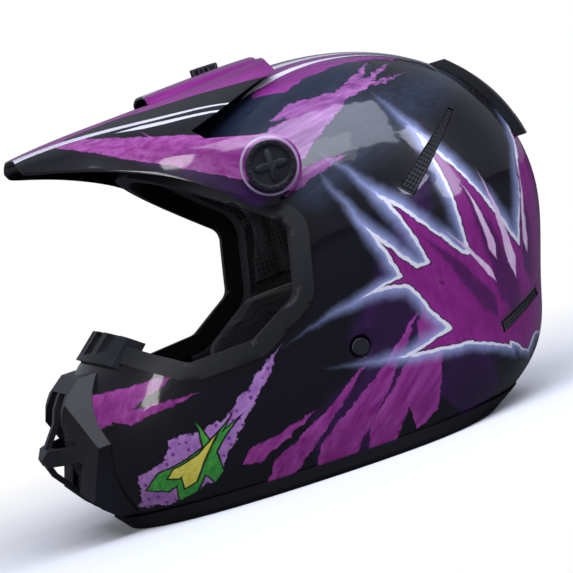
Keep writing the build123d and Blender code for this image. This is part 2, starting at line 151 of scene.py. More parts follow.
def sidesAlike(tree):
    # millimetres with Y folded over, so that left and right carry the same artwork
    split = addNode(tree, "SeparateXYZ", {0: millimetres(tree)})
    folded = addNode(tree, "Math", {0: split.outputs[1]}, operation="ABSOLUTE").outputs[0]
    return addNode(tree, "CombineXYZ", {0: split.outputs[0], 1: folded, 2: split.outputs[2]}).outputs[0]


def streaks(tree, vector, angle, onTop):
    # brush hairs about 3 mm across and 20 times as long, lying at an angle
    local = addNode(tree, "Mapping", {"Vector": vector, "Rotation": layAt(angle, onTop), "Scale": (20, 1, 1)},
                    vector_type="TEXTURE")
    noise = addNode(tree, "TexNoise",
                    {"Vector": local.outputs[0], "Scale": 0.3, "Detail": 4.0, "Roughness": 0.6})
    return addNode(tree, "MapRange", (noise.outputs["Fac"], 0.3, 0.7)).outputs[0]


# one entry for each graphic, and one for a painted blue-grey sheen, painted in this order: "tear" is how
# far and how coarsely its edges are torn, "soft" how far they fade, and "apart" how far it stays from the
# middle line
shellArt = {
    # painted sheen: a soft blue-grey band over the upper side, standing in for the reflection of an overhead
    # softbox
    "paintedBlueSheen": {
        "strokes": [(-30, 186, 22, 170, 26, 0), (10, 178, 10, 120, 20, 0)],
        "colour": "#1C2436", "light": "#3A4660", "angle": 20, "tear": (10, 40), "soft": 30.0,
    },
    "shadow": {
        "strokes": [(30, 60, 62, 120, 26, 0), (-10, 20, 40, 110, 20, 0), (70, 20, 70, 60, 24, 0)],
        "colour": "#2A0F38", "light": "#3A1650", "angle": 60, "tear": (14, 20), "soft": 9.0,
    },
    "bolts": {
        "strokes": [(-46, 14, 33, 74, 7, 0.0006), (-16, 12, 40, 92, 11, 0.0005), (14, 16, 48, 92, 9, 0.0002),
                    (40, 22, 60, 66, 10, 0), (54, 60, 72, 60, 7, 0), (-60, 26, 20, 40, 5, 0),
                    (-136, 75, 12, 52, 10, 0), (-120, 68, 4, 40, 4, 0)],
        "colour": "#7E1873", "light": "#B24FA8", "angle": 42, "tear": (7, 9), "soft": 0.8,
    },
    "crest": {
        "strokes": [(-4, 178, 26, 96, 9, 0), (8, 196, 12, 92, 5, 0), (22, 206, 2, 74, 4, -0.0004),
                    (0, 168, 8, 40, 6, 0)],
        "colour": "#6A2270", "light": "#BC78BA", "angle": 12, "tear": (9, 11), "soft": 0.8,
    },
    "blaze": {
        "strokes": [(118, 52, 97, 112, 25, 0.0012), (98, 54, 112, 92, 17, 0.001),
                    (140, 62, 84, 96, 17, -0.001),
                    (84, 60, 134, 70, 12, -0.002), (152, 84, 76, 74, 12, 0), (92, 88, 160, 52, 9, 0.004),
                    (100, 60, 196, 52, 10, -0.003), (128, 46, 30, 40, 12, 0), (166, 50, 93, 130, 30, 0)],
        "colour": "#821875", "light": "#A22F94", "angle": 96, "tear": (6, 16), "soft": 0.6, "halo": True,
    },
    "blazeCore": {
        "strokes": [(116, 66, 98, 78, 9, 0.0012), (98, 66, 116, 58, 6, 0.002), (136, 76, 84, 66, 6, -0.001)],
        "colour": "#4A1150", "light": "#6A1868", "angle": 96, "tear": (6, 16), "soft": 2.0, "apart": 52,
    },
    "blazeSpark": {
        "strokes": [(110, 96, 96, 40, 2.6, 0.003), (122, 84, 92, 54, 3.2, 0.002),
                    (104, 82, 118, 36, 2.0, 0.003),
                    (137, 92, 82, 40, 2.2, -0.002)],
        "colour": "#E9B9E2", "light": "#F8E9F6", "angle": 96, "tear": (3, 12), "soft": 0.8, "apart": 56,
    },
    "patch": {
        "strokes": [(-116, 22, 32, 62, 13, 0), (-100, 42, 14, 44, 7, 0), (-92, 26, 42, 84, 10, 0)],
        "colour": "#9A62AE", "light": "#C99AD4", "angle": 30, "tear": (9, 8), "soft": 0.8, "dots": True,
    },
    "patchLeaf": {
        "strokes": [(-112, 26, 14, 46, 6, 0.006), (-100, 20, 50, 44, 6.5, -0.004),
                    (-84, 24, 84, 30, 5, 0.006)],
        "colour": "#1E7A36", "light": "#5BBF45", "angle": 40, "tear": (2, 8), "soft": 0.6, "rim": "#0A0A0E",
    },
    "patchFlash": {
        "strokes": [(-98, 24, 52, 28, 4.2, -0.004), (-104, 29, 18, 24, 3.0, 0.006)],
        "colour": "#D9C827", "light": "#F4EE7A", "angle": 40, "tear": (1, 8), "soft": 0.5, "rim": "#0A0A0E",
    },
}
crownArt = {
    "crownWash": {
        "strokes": [(22, 30, -4, 110, 24, 0), (22, 62, -14, 84, 12, 0)],
        "colour": "#701A6A", "light": "#9C3F98", "angle": 0, "tear": (8, 12), "soft": 1.0,
    },
    "crownStripe": {
        "strokes": [(18, 34, -5, 120, 6, -0.0006), (18, 56, -18, 90, 3.4, 0.0008)],
        "colour": "#E8E4EE", "light": "#FFFFFF", "angle": 0, "tear": (1.5, 10), "soft": 0.4,
    },
}
# the visor's own graphics: a wedge of colour from the tip, white pinstripes and torn bolts at the arms
visorArt = {
    "visorWedge": {
        "strokes": [(-140, 6, 11, 200, 21, 0), (34, 46, 191, 150, 24, 0), (34, 16, 180, 150, 20, 0)],
        "colour": "#7C1874", "light": "#A93C9F", "angle": 0, "tear": (1.5, 14), "soft": 0.5,
    },
    "visorStripe": {
        "strokes": [(-136, 24, 21, 176, 3.8, 0.0004), (-112, 11, 4, 160, 1.9, 0), (-60, 64, 26, 80, 2.2, 0)],
        "colour": "#DCD8E2", "light": "#F6F4FA", "angle": 0, "tear": (1.0, 12), "soft": 0.4,
    },
}
visorSideArt = {
    "armShade": {
        "strokes": [(-10, 176, 150, 86, 17, 0), (-30, 196, 160, 60, 10, 0)],
        "colour": "#2A0F38", "light": "#3A1650", "angle": 150, "tear": (8, 16), "soft": 7.0,
    },
    "armBolts": {
        "strokes": [(14, 176, 156, 152, 17, 0), (-30, 196, 150, 34, 5, 0), (-46, 200, 128, 26, 3.4, 0),
                    (-64, 206, 140, 24, 3, 0)],
        "colour": "#7E1873", "light": "#B968B2", "angle": 152, "tear": (3, 10), "soft": 0.7,
    },
}

# how a graphic is filled and edged. A pair is where an edge begins and ends, in millimetres inside the mark
brushwork = {"pale": (0.0, 14.0), "merge": 3.0,
             "glow": (-11.0, -2.0), "glowFade": 1.6, "glowColour": "#A9B4E6",
             "line": (-3.0, -2.4), "lineColour": "#F4F2FA",
             "ink": (-0.9, -0.4), "inkColour": "#220A2A",
             "rim": (-1.3, -0.8)}
spots = {"spacing": 4.5, "scatter": 0.15, "edge": (0.30, 0.24), "colour": "#7C3D94"}


def paintArt(tree, base, vector, art, onTop, where):
    # lays one graphic over the colour below it
    amount, size = art["tear"]
    torn = tear(tree, vector, amount, size, art["strokes"][0][0])
    field = artField(tree, torn, art["strokes"], onTop, brushwork["merge"] if art.get("halo") else 0.0)
    hairs = streaks(tree, vector, art["angle"], onTop)
    depth = addNode(tree, "MapRange", (field, *brushwork["pale"])).outputs[0]
    pale = addNode(tree, "Math", {0: 1.0, 1: depth}, operation="SUBTRACT").outputs[0]
    pale = addNode(tree, "Math", {0: hairs, 1: pale}, operation="MULTIPLY").outputs[0]
    fill = addNode(tree, "Mix", {0: pale, 6: colour(art["colour"]), 7: colour(art["light"])},
                   data_type="RGBA").outputs[2]
    if art.get("dots"):
        cells = addNode(tree, "TexVoronoi", {"Vector": vector, "Scale": 1 / spots["spacing"],
                                             "Randomness": spots["scatter"]})
        dots = addNode(tree, "MapRange", (cells.outputs["Distance"], *spots["edge"])).outputs[0]
        fill = addNode(tree, "Mix", {0: dots, 6: fill, 7: colour(spots["colour"])},
                       data_type="RGBA").outputs[2]
    mask = addNode(tree, "MapRange", (field, -art["soft"] / 2, art["soft"] / 2)).outputs[0]
    if where is not None:
        mask = addNode(tree, "Math", {0: mask, 1: where}, operation="MULTIPLY").outputs[0]
    if art.get("halo"):
        glow = addNode(tree, "MapRange", (field, *brushwork["glow"])).outputs[0]
        glow = addNode(tree, "Math", {0: glow, 1: brushwork["glowFade"]}, operation="POWER").outputs[0]
        base = addNode(tree, "Mix", {0: glow, 6: base, 7: colour(brushwork["glowColour"])},
                       data_type="RGBA").outputs[2]
        for edge in ("line", "ink"):
            edgeMask = addNode(tree, "MapRange", (field, *brushwork[edge])).outputs[0]
            base = addNode(tree, "Mix", {0: edgeMask, 6: base, 7: colour(brushwork[edge + "Colour"])},
                           data_type="RGBA").outputs[2]
    if art.get("rim"):
        edgeMask = addNode(tree, "MapRange", (field, *brushwork["rim"])).outputs[0]
        base = addNode(tree, "Mix", {0: edgeMask, 6: base, 7: colour(art["rim"])},
                       data_type="RGBA").outputs[2]
    return addNode(tree, "Mix", {0: mask, 6: base, 7: fill}, data_type="RGBA").outputs[2]


# sprayed shell under a polished clear coat: deep reflections with a little orange peel
clearCoat = {"peelSize": 2.2, "peelDepth": 0.012, "flake": 0.5, "black": "#07070B", "fleck": "#14131F"}
# where the spray reached: faces on top, the blend beside the middle line, and faces turned outwards.
# The inside is bare black plastic
sprayed = {"top": (0.35, 0.5), "blend": 6.0, "outside": (-4.0, 4.0), "middle": (20, 0, 120),
           "bare": "#0B0B0E"}
# a pale line round the side knob
knobRing = {"x": -6.0, "z": 181.0, "radius": 16.4, "width": 1.1, "blend": 0.2, "colour": "#A99BB4"}


def paintedShell(name, sideArt, topArt, ring=None):
    material, tree, shader = newMaterial(name, Roughness=0.36, IOR=1.5, Specular_IOR_Level=0.2,
                                         Coat_Weight=1.0, Coat_Roughness=0.07, Coat_IOR=1.5)
    vector = sidesAlike(tree)
    speck = addNode(tree, "TexNoise", {"Vector": vector, "Scale": 1 / clearCoat["flake"], "Detail": 1.0})
    flecks = addNode(tree, "MapRange", (speck.outputs["Fac"], 0.5, 0.75)).outputs[0]
    base = addNode(tree, "Mix", {0: flecks, 6: colour(clearCoat["black"]), 7: colour(clearCoat["fleck"])},
                   data_type="RGBA").outputs[2]
    normal = addNode(tree, "NewGeometry").outputs["Normal"]
    facing = addNode(tree, "SeparateXYZ", {0: normal}).outputs[2]
    for art in sideArt.values():
        where = None
        if "apart" in art:
            # fine marks keep off the middle line, where the folded artwork meets itself
            outward = addNode(tree, "SeparateXYZ", {0: vector}).outputs[1]
            bare, full = art["apart"] - sprayed["blend"], art["apart"] + sprayed["blend"]
            where = addNode(tree, "MapRange", (outward, bare, full)).outputs[0]
        base = paintArt(tree, base, vector, art, False, where)
    for art in topArt.values():
        base = paintArt(tree, base, vector, art, True,
                        addNode(tree, "MapRange", (facing, *sprayed["top"])).outputs[0])
    if ring:
        flat = addNode(tree, "VectorMath", {0: vector, 1: (1, 0, 1)}, operation="MULTIPLY").outputs[0]
        reach = addNode(tree, "VectorMath", {0: flat, 1: (ring["x"], 0, ring["z"])}, operation="DISTANCE")
        off = addNode(tree, "Math", {0: reach.outputs["Value"], 1: ring["radius"]},
                      operation="SUBTRACT").outputs[0]
        off = addNode(tree, "Math", {0: off}, operation="ABSOLUTE").outputs[0]
        line = addNode(tree, "MapRange",
                       (off, ring["width"] / 2 + ring["blend"], ring["width"] / 2)).outputs[0]
        base = addNode(tree, "Mix", {0: line, 6: base, 7: colour(ring["colour"])},
                       data_type="RGBA").outputs[2]
    fromMiddle = addNode(tree, "VectorMath", {0: millimetres(tree), 1: sprayed["middle"]},
                         operation="SUBTRACT").outputs[0]
    outside = addNode(tree, "VectorMath", {0: normal, 1: fromMiddle},
                      operation="DOT_PRODUCT").outputs["Value"]
    coat = addNode(tree, "MapRange", (outside, *sprayed["outside"])).outputs[0]
    base = addNode(tree, "Mix", {0: coat, 6: colour(sprayed["bare"]), 7: base}, data_type="RGBA").outputs[2]
    tree.links.new(base, shader.inputs["Base Color"])
    peel = addNode(tree, "TexNoise", {"Vector": vector, "Scale": 1 / clearCoat["peelSize"], "Detail": 1.0})
    bump = addNode(tree, "Bump", {"Height": peel.outputs["Fac"], "Strength": 0.25,
                                  "Distance": clearCoat["peelDepth"] * mm})
    tree.links.new(bump.outputs[0], shader.inputs["Coat Normal"])
    return material


# injection-moulded ABS with a spark-eroded texture: satin black, a little paler in broad worn patches
mouldedAbs = {"roughness": 0.36, "uneven": (-0.07, 0.08), "grain": 0.7, "cloud": 22, "depth": 0.03,
              "colour": "#0D0E12", "worn": "#1C1D24"}


def mouldedPlastic(name, look):
    material, tree, shader = newMaterial(name, Roughness=look["roughness"], IOR=1.53)
    vector = millimetres(tree)
    grain = addNode(tree, "TexNoise", {"Vector": vector, "Scale": 1 / look["grain"], "Detail": 2.0})
    cloud = addNode(tree, "TexNoise", {"Vector": vector, "Scale": 1 / look["cloud"], "Detail": 3.0})
    wear = addNode(tree, "MapRange", (cloud.outputs["Fac"], 0.35, 0.75)).outputs[0]
    tone = addNode(tree, "Mix", {0: wear, 6: colour(look["colour"]), 7: colour(look["worn"])},
                   data_type="RGBA").outputs[2]
    tree.links.new(tone, shader.inputs["Base Color"])
    smoother, rougher = look["uneven"]
    rough = addNode(tree, "MapRange", {"Value": cloud.outputs["Fac"], "To Min": look["roughness"] + smoother,
                                       "To Max": look["roughness"] + rougher})
    tree.links.new(rough.outputs[0], shader.inputs["Roughness"])
    bump = addNode(tree, "Bump",
                   {"Height": grain.outputs["Fac"], "Strength": 0.5, "Distance": look["depth"] * mm})
    tree.links.new(bump.outputs[0], shader.inputs["Normal"])
    return material


# extruded EPDM seal: a softer sheen than the plastic, with a fine even grain
drawnSeal = {"roughness": 0.55, "ior": 1.52, "grain": 1.2, "detail": 3.0, "strength": 0.3, "depth": 0.02,
             "dark": "#0A0B0E", "light": "#15161B"}
# powder-coated woven wire: satin black with a pebbled skin
powderCoat = {"roughness": 0.5, "ior": 1.5, "grain": 0.5, "detail": 2.0, "strength": 0.4, "depth": 0.03,
              "dark": "#0E0E10", "light": "#2B2B2F"}


def grainedFinish(name, look):
    material, tree, shader = newMaterial(name, Roughness=look["roughness"], IOR=look["ior"])
    vector = millimetres(tree)
    grain = addNode(tree, "TexNoise",
                    {"Vector": vector, "Scale": 1 / look["grain"], "Detail": look["detail"]})
    tone = addNode(tree, "Mix", {0: grain.outputs["Fac"], 6: colour(look["dark"]), 7: colour(look["light"])},
                   data_type="RGBA").outputs[2]
    tree.links.new(tone, shader.inputs["Base Color"])
    bump = addNode(tree, "Bump", {"Height": grain.outputs["Fac"], "Strength": look["strength"],
                                  "Distance": look["depth"] * mm})
    tree.links.new(bump.outputs[0], shader.inputs["Normal"])
    return material


# steam-moulded EPS: beads pressed flat against each other, with dark joins
steamedBeads = {"bead": 4.0, "join": 0.12, "depth": 0.25, "dark": "#17171A", "light": "#34343A"}


def beadFoam(name, look):
    material, tree, shader = newMaterial(name, Roughness=0.8, IOR=1.5)
    vector = millimetres(tree)
    bead = addNode(tree, "TexVoronoi", {"Vector": vector, "Scale": 1 / look["bead"]},
                   feature="DISTANCE_TO_EDGE")
    join = addNode(tree, "MapRange", (bead.outputs["Distance"], 0.0, look["join"])).outputs[0]
    tone = addNode(tree, "Mix", {0: join, 6: colour(look["dark"]), 7: colour(look["light"])},
                   data_type="RGBA").outputs[2]
    tree.links.new(tone, shader.inputs["Base Color"])
    bump = addNode(tree, "Bump", {"Height": join, "Strength": 0.7, "Distance": look["depth"] * mm})
    tree.links.new(bump.outputs[0], shader.inputs["Normal"])
    return material


# warp-knit lining with a brushed face: open cells, drawn as coarse as 3 mm so that they show. The holes are
# painted near black: the dark backing seen through them, with painted shade in the holes
brushedKnit = {"cell": 3.0, "scatter": 0.12, "hole": (0.18, 0.42), "fluff": 0.8, "fluffHeight": 0.35,
               "depth": 0.4,
               "holeShade": "#060607", "dark": "#1B1B1F", "light": "#3C3B44"}


def knitLining(name, look):
    material, tree, shader = newMaterial(name, Roughness=0.92, Sheen_Weight=0.35, Sheen_Roughness=0.5)
    vector = millimetres(tree)
    cell = addNode(tree, "TexVoronoi",
                   {"Vector": vector, "Scale": 1 / look["cell"], "Randomness": look["scatter"]})
    hole = addNode(tree, "MapRange", (cell.outputs["Distance"], *look["hole"])).outputs[0]
    fluff = addNode(tree, "TexNoise", {"Vector": vector, "Scale": 1 / look["fluff"], "Detail": 4.0})
    thread = addNode(tree, "Mix",
                     {0: fluff.outputs["Fac"], 6: colour(look["dark"]),
                      7: colour(look["light"])}, data_type="RGBA").outputs[2]
    # painted shade: the open cells are filled with the near-black hole colour
    tone = addNode(tree, "Mix", {0: hole, 6: colour(look["holeShade"]), 7: thread}, data_type="RGBA").outputs[2]
    tree.links.new(tone, shader.inputs["Base Color"])
    height = addNode(tree, "Math", {0: fluff.outputs["Fac"], 1: look["fluffHeight"], 2: hole},
                     operation="MULTIPLY_ADD")
    bump = addNode(tree, "Bump",
                   {"Height": height.outputs[0], "Strength": 0.8, "Distance": look["depth"] * mm})
    tree.links.new(bump.outputs[0], shader.inputs["Normal"])
    return material


# nylon webbing in a herringbone weave, read from the strap's own UV map
herringbone = {"rib": 2.0, "turn": 4.0, "depth": 0.3, "dark": "#0B0B0D", "light": "#26262B"}


def wovenWebbing(name, look, length, width):
    material, tree, shader = newMaterial(name, Roughness=0.7, Sheen_Weight=0.2)
    place = addNode(tree, "UVMap", uv_map="UVMap").outputs[0]
    sized = addNode(tree, "VectorMath", {0: place, 1: (length, width, 1)}, operation="MULTIPLY")
    split = addNode(tree, "SeparateXYZ", {0: sized.outputs[0]})
    zigzag = addNode(tree, "Math", {0: split.outputs[1], 1: look["turn"]}, operation="PINGPONG")
    lean = addNode(tree, "Math", {0: zigzag.outputs[0], 1: split.outputs[0]}, operation="ADD")
    rib = addNode(tree, "Math", {0: lean.outputs[0], 1: 2 * math.pi / look["rib"]}, operation="MULTIPLY")
    wave = addNode(tree, "Math", {0: rib.outputs[0]}, operation="SINE")
    shade = addNode(tree, "MapRange", (wave.outputs[0], -1.0, 1.0)).outputs[0]
    tone = addNode(tree, "Mix", {0: shade, 6: colour(look["dark"]), 7: colour(look["light"])},
                   data_type="RGBA").outputs[2]
    tree.links.new(tone, shader.inputs["Base Color"])
    bump = addNode(tree, "Bump", {"Height": shade, "Strength": 0.8, "Distance": look["depth"] * mm})
    tree.links.new(bump.outputs[0], shader.inputs["Normal"])
    return material


# zinc plate on the rings and brass in the inserts: bright metal with a slightly uneven, cloudy lustre
cloudyMetal = {"cloud": 3.5, "roughness": (0.18, 0.42), "glint": "#E4E5E8"}


def plainMetal(name, code, look):
    material, tree, shader = newMaterial(name, Metallic=1.0, Roughness=0.28)
    vector = millimetres(tree)
    haze = addNode(tree, "TexNoise", {"Vector": vector, "Scale": 1 / look["cloud"], "Detail": 4.0})
    smoother, rougher = look["roughness"]
    rough = addNode(tree, "MapRange", {"Value": haze.outputs["Fac"], "To Min": smoother, "To Max": rougher})
    tree.links.new(rough.outputs[0], shader.inputs["Roughness"])
    tone = addNode(tree, "Mix", {0: haze.outputs["Fac"], 6: colour(code), 7: colour(look["glint"])},
                   data_type="RGBA").outputs[2]
    tree.links.new(tone, shader.inputs["Base Color"])
    return material


print("stage and camera")
# the camera turns a little to the front of the helmet, which leans back against it by the roll
lookAt = {"azimuth": -11.0, "elevation": 3.5, "roll": 18.0, "distance": 1.8, "target": (4.1, 0.0, 106.5),
          "lens": 188.5}


def addCamera(view):
    turn, rise = math.radians(view["azimuth"]), math.radians(view["elevation"])
    back = Vector((math.sin(turn) * math.cos(rise), -math.cos(turn) * math.cos(rise), math.sin(rise)))
    target = Vector(view["target"]) * mm
    bpy.ops.object.camera_add(location=target + back * view["distance"])
    camera = bpy.context.object
    facing = (-back).to_track_quat("-Z", "Y").to_matrix().to_4x4()
    camera.rotation_euler = (facing @ Matrix.Rotation(-math.radians(view["roll"]), 4, "Z")).to_euler()
    camera.data.lens = view["lens"]
    camera.data.clip_start, camera.data.clip_end = 0.05, 50
    bpy.context.scene.camera = camera


addCamera(lookAt)

# one broad box overhead, a strip at the front and a cooler strip behind, as in a small product studio.
# Places and sizes are in metres, and each light faces the middle of the helmet
lit = Vector((0, 0, 0.12))
softLights = {
    "overheadBox": {"place": (0.15, -0.9, 1.5), "size": (2.3, 1.2), "power": 36, "tint": "#E6ECFF"},
    "frontStrip": {"place": (-1.5, -0.9, 0.55), "size": (0.25, 1.3), "power": 8, "tint": "#FFFFFF"},
    "rearStrip": {"place": (1.5, -0.9, 0.6), "size": (0.35, 1.3), "power": 9, "tint": "#E6EBFF"},
    "faceFill": {"place": (0.1, -2.0, 1.9), "size": (2.0, 1.0), "power": 9, "tint": "#FFFFFF"},
}
for name, soft in softLights.items():
    bpy.ops.object.light_add(type="AREA", location=soft["place"])
    light = bpy.context.object
    light.name = name
    light.data.shape = "RECTANGLE"
    light.data.size, light.data.size_y = soft["size"]
    light.data.energy = soft["power"]
    light.data.color = colour(soft["tint"])[:3]
    light.rotation_euler = (lit - Vector(soft["place"])).to_track_quat("-Z", "Y").to_euler()

# the room is dim, so that the gloss stays deep, and shows white behind the helmet
roomLight = {"tint": "#DDE2F2", "strength": 0.26}
world = bpy.data.worlds.new("paleRoom")
bpy.context.scene.world = world
world.use_nodes = True
worldTree = world.node_tree
dim = worldTree.nodes["Background"]
dim.inputs[0].default_value = colour(roomLight["tint"])
dim.inputs[1].default_value = roomLight["strength"]
bright = addNode(worldTree, "Background", {0: colour("#FFFFFF"), 1: 1.0})
seen = addNode(worldTree, "LightPath").outputs["Is Camera Ray"]
room = addNode(worldTree, "MixShader", {0: seen, 1: dim.outputs[0], 2: bright.outputs[0]})
worldTree.links.new(room.outputs[0], worldTree.nodes["World Output"].inputs[0])
bpy.context.scene.view_settings.view_transform = "Standard"

# a paper floor that fades into the white of the room with distance. Only the camera sees it bright: for
# reflections and bounced light it is a dark card. The radius is in metres, the rest in millimetres
paperSheet = {"radius": 12, "level": -0.0002, "mottle": 40, "fade": (190.0, 520.0), "white": "#FBFBFB",
              "shade": "#F6F6F7", "card": "#5A5A60"}
bpy.ops.mesh.primitive_circle_add(vertices=96, radius=paperSheet["radius"], fill_type="NGON",
                                  location=(0, 0, paperSheet["level"]))
floor = bpy.context.object
floor.name = "floor"
paper, paperTree, paperShader = newMaterial("palePaper", Roughness=0.9, Specular_IOR_Level=0.05)
paperPlace = millimetres(paperTree)
paperGrain = addNode(paperTree, "TexNoise", {"Vector": paperPlace, "Scale": 1 / paperSheet["mottle"],
                                             "Detail": 4.0})
paperTone = addNode(paperTree, "Mix",
                    {0: paperGrain.outputs["Fac"], 6: colour(paperSheet["white"]),
                     7: colour(paperSheet["shade"])}, data_type="RGBA").outputs[2]
paperTree.links.new(paperTone, paperShader.inputs["Base Color"])
paperReach = addNode(paperTree, "VectorMath", {0: paperPlace}, operation="LENGTH").outputs["Value"]
paperFade = addNode(paperTree, "MapRange", (paperReach, *paperSheet["fade"])).outputs[0]
paperEdge = addNode(paperTree, "Emission", {0: colour("#FFFFFF"), 1: 1.0})
paperSeen = addNode(paperTree, "MixShader",
                    {0: paperFade, 1: paperShader.outputs[0], 2: paperEdge.outputs[0]})
paperCard = addNode(paperTree, "BsdfDiffuse", {0: colour(paperSheet["card"])})
paperEye = addNode(paperTree, "LightPath").outputs["Is Camera Ray"]
paperRoom = addNode(paperTree, "MixShader", {0: paperEye, 1: paperCard.outputs[0], 2: paperSeen.outputs[0]})
paperTree.links.new(paperRoom.outputs[0], paperTree.nodes["Material Output"].inputs[0])
floor.data.materials.append(paper)


def activate(piece):
    bpy.ops.object.select_all(action="DESELECT")
    piece.select_set(True)
    bpy.context.view_layer.objects.active = piece


def standIn(node, name):
    # a copy of a CAD node with its loose triangles joined up, which rides and stands where the node does
    activate(nodes[node])
    bpy.ops.object.duplicate()
    piece = bpy.context.object
    piece.parent = None
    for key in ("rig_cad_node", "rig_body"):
        if key in piece:
            del piece[key]
    piece.name = name
    activate(piece)
    bpy.ops.object.mode_set(mode="EDIT")
    bpy.ops.mesh.select_all(action="SELECT")
    bpy.ops.mesh.remove_doubles(threshold=0.00002)
    bpy.ops.object.mode_set(mode="OBJECT")
    return piece


def settle(piece, body, slot, *replaced, finish=None):
    # the last steps for every new piece
    piece.data.materials.clear()
    piece.data.materials.append(finish or finishes[slot])
    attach(piece, body)
    if replaced:
        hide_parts(*replaced)


def useModifier(piece, kind, **settings):
    activate(piece)
    modifier = piece.modifiers.new(kind.lower(), kind)
    for name, value in settings.items():
        setattr(modifier, name, value)
    bpy.ops.object.modifier_apply(modifier=modifier.name)


def keepInPlace(piece):
    activate(piece)
    bpy.ops.object.transform_apply(location=True, rotation=True, scale=True)


print("finishes")
finishes = {
    "shell_paint": paintedShell("sprayedShell", shellArt, crownArt),
    "visor_paint": paintedShell("sprayedVisor", visorSideArt, visorArt, knobRing),
    "satin_plastic": mouldedPlastic("mouldedAbs", mouldedAbs),
    "trim_rubber": grainedFinish("extrudedRubber", drawnSeal),
    "foam_grey": beadFoam("beadFoam", steamedBeads),
    "liner_cloth": knitLining("knitLining", brushedKnit),
    "ring_steel": plainMetal("zincPlate", "#B9BBC0", cloudyMetal),
    "insert_brass": plainMetal("turnedBrass", "#B08A3E", cloudyMetal),
    "mesh_metal": grainedFinish("coatedWire", powderCoat),
}
# the straps get webbing of their own lengths when they are laid
finishes["strap_webbing"] = finishes["trim_rubber"]
for node, slot in slotOf.items():
    nodes[node].data.materials.clear()
    nodes[node].data.materials.append(finishes[slot])

print("moulded skins")
# smooth-shaded copies of the moulded and formed nodes. Moulded edges are never sharp, so some are rounded too
smoothSkins = {
    "outer_shell": {"name": "shellSkin", "angle": 40},
    "nose_guard": {"name": "noseGuardSkin", "angle": 35, "soften": 0.7},
    "eyeport_trim": {"name": "eyeSealSkin", "angle": 35},
    "mouth_vent_cover": {"name": "mouthFrameSkin", "angle": 30, "soften": 0.8},
    "rear_spoiler": {"name": "spoilerSkin", "angle": 35, "soften": 0.6},
    "base_trim": {"name": "baseSealSkin", "angle": 40},
    "eps_liner": {"name": "impactLinerSkin", "angle": 35},
    "chin_foam": {"name": "chinFoamSkin", "angle": 35},
    "crown_thumbscrew": {"name": "thumbScrewSkin", "angle": 30},
    "d_ring_upper": {"name": "upperRingSkin", "angle": 60},
    "d_ring_lower": {"name": "lowerRingSkin", "angle": 60},
    "strap_rivet_left": {"name": "leftRivetSkin", "angle": 30},
    "strap_rivet_right": {"name": "rightRivetSkin", "angle": 30},
    "snap_cap": {"name": "snapCapSkin", "angle": 30},
    "snap_socket": {"name": "snapSocketSkin", "angle": 30},
}
for node, skin in smoothSkins.items():
    piece = standIn(node, skin["name"])
    if "soften" in skin:
        # join the flat triangles first, then round the edges that are left
        useModifier(piece, "DECIMATE", decimate_type="DISSOLVE", angle_limit=math.radians(2))
        useModifier(piece, "BEVEL", width=skin["soften"] * mm, segments=2, limit_method="ANGLE",
                    angle_limit=math.radians(35))
        activate(piece)
    bpy.ops.object.shade_smooth_by_angle(angle=math.radians(skin["angle"]))
    useModifier(piece, "WEIGHTED_NORMAL", mode="FACE_AREA", weight=80, keep_sharp=True)
    settle(piece, bodyOf[node], slotOf[node], node)

print("visor")
visorCage = {
    "wall": 2.6, "edge": 0.5, "pivot": (-6.0, 181.0), "armRadius": 18.5,
    # the side view's cut, as (X, Z): along the brow, round the arm and back to its slot
    "brow": [(-38, 213), (8, 227), (25.5, 232)], "slot": (-34, 206.5), "behind": 60, "below": 120,
    # X, then the half outline of the top from the ridge to the lower edge as (|Y|, Z)
    "stations": [
        (-131, [(0, 226.8), (18, 226.4), (27, 224.6), (33, 222.0), (38, 218.5)]),
        (-127, [(0, 227.6), (19, 227.1), (30, 225.0), (37, 222.0), (42, 217.0)]),
        (-102, [(0, 230.4), (24, 229.8), (42, 225.8), (54, 219.5), (60, 211.0)]),
        (-70, [(0, 231.8), (28, 231.4), (58, 223.2), (75, 213.0), (83, 199.0)]),
        (-44, [(0, 233.2), (33, 232.4), (72, 220.0), (99, 204.0), (104, 184.0)]),
        (-26, [(0, 234.6), (36, 233.6), (80, 219.0), (112.0, 200.0), (112.0, 166.0)]),
        (-20, [(0, 235.2), (37, 234.2), (82, 218.6), (112.0, 198.5), (112.0, 159.0)]),
        (-8, [(0, 236.4), (38, 235.0), (84, 218.0), (112.0, 197.0), (112.0, 159.0)]),
        (8, [(0, 238.0), (39, 236.6), (85, 218.4), (112.0, 197.0), (112.0, 159.0)]),
        (25, [(0, 239.8), (40, 238.2), (86, 218.6), (112.0, 197.0), (112.0, 159.0)]),
    ],
    "creases": {1: 0.55, 2: 0.25, 3: 0.35},
}


def cageSurface(name, stations, creases):
    # a grid primitive laid over the stations, one row for each, with the ridges creased
    columns = 2 * len(stations[0][1]) - 1
    bpy.ops.mesh.primitive_grid_add(x_subdivisions=columns - 1, y_subdivisions=len(stations) - 1, size=1)
    piece = bpy.context.object
    piece.name = name
    middle = columns // 2
    for row, (x, half) in enumerate(stations):
        for column in range(columns):
            y, z = half[abs(column - middle)]
            side = 1 if column >= middle else -1
            piece.data.vertices[row * columns + column].co = Vector((x, side * y, z)) * mm
    crease = piece.data.attributes.new("crease_edge", "FLOAT", "EDGE")
    for edge in piece.data.edges:
        first, second = (abs(v % columns - middle) for v in edge.vertices)
        if first == second:
            crease.data[edge.index].value = creases.get(first, 0.0)
    return piece


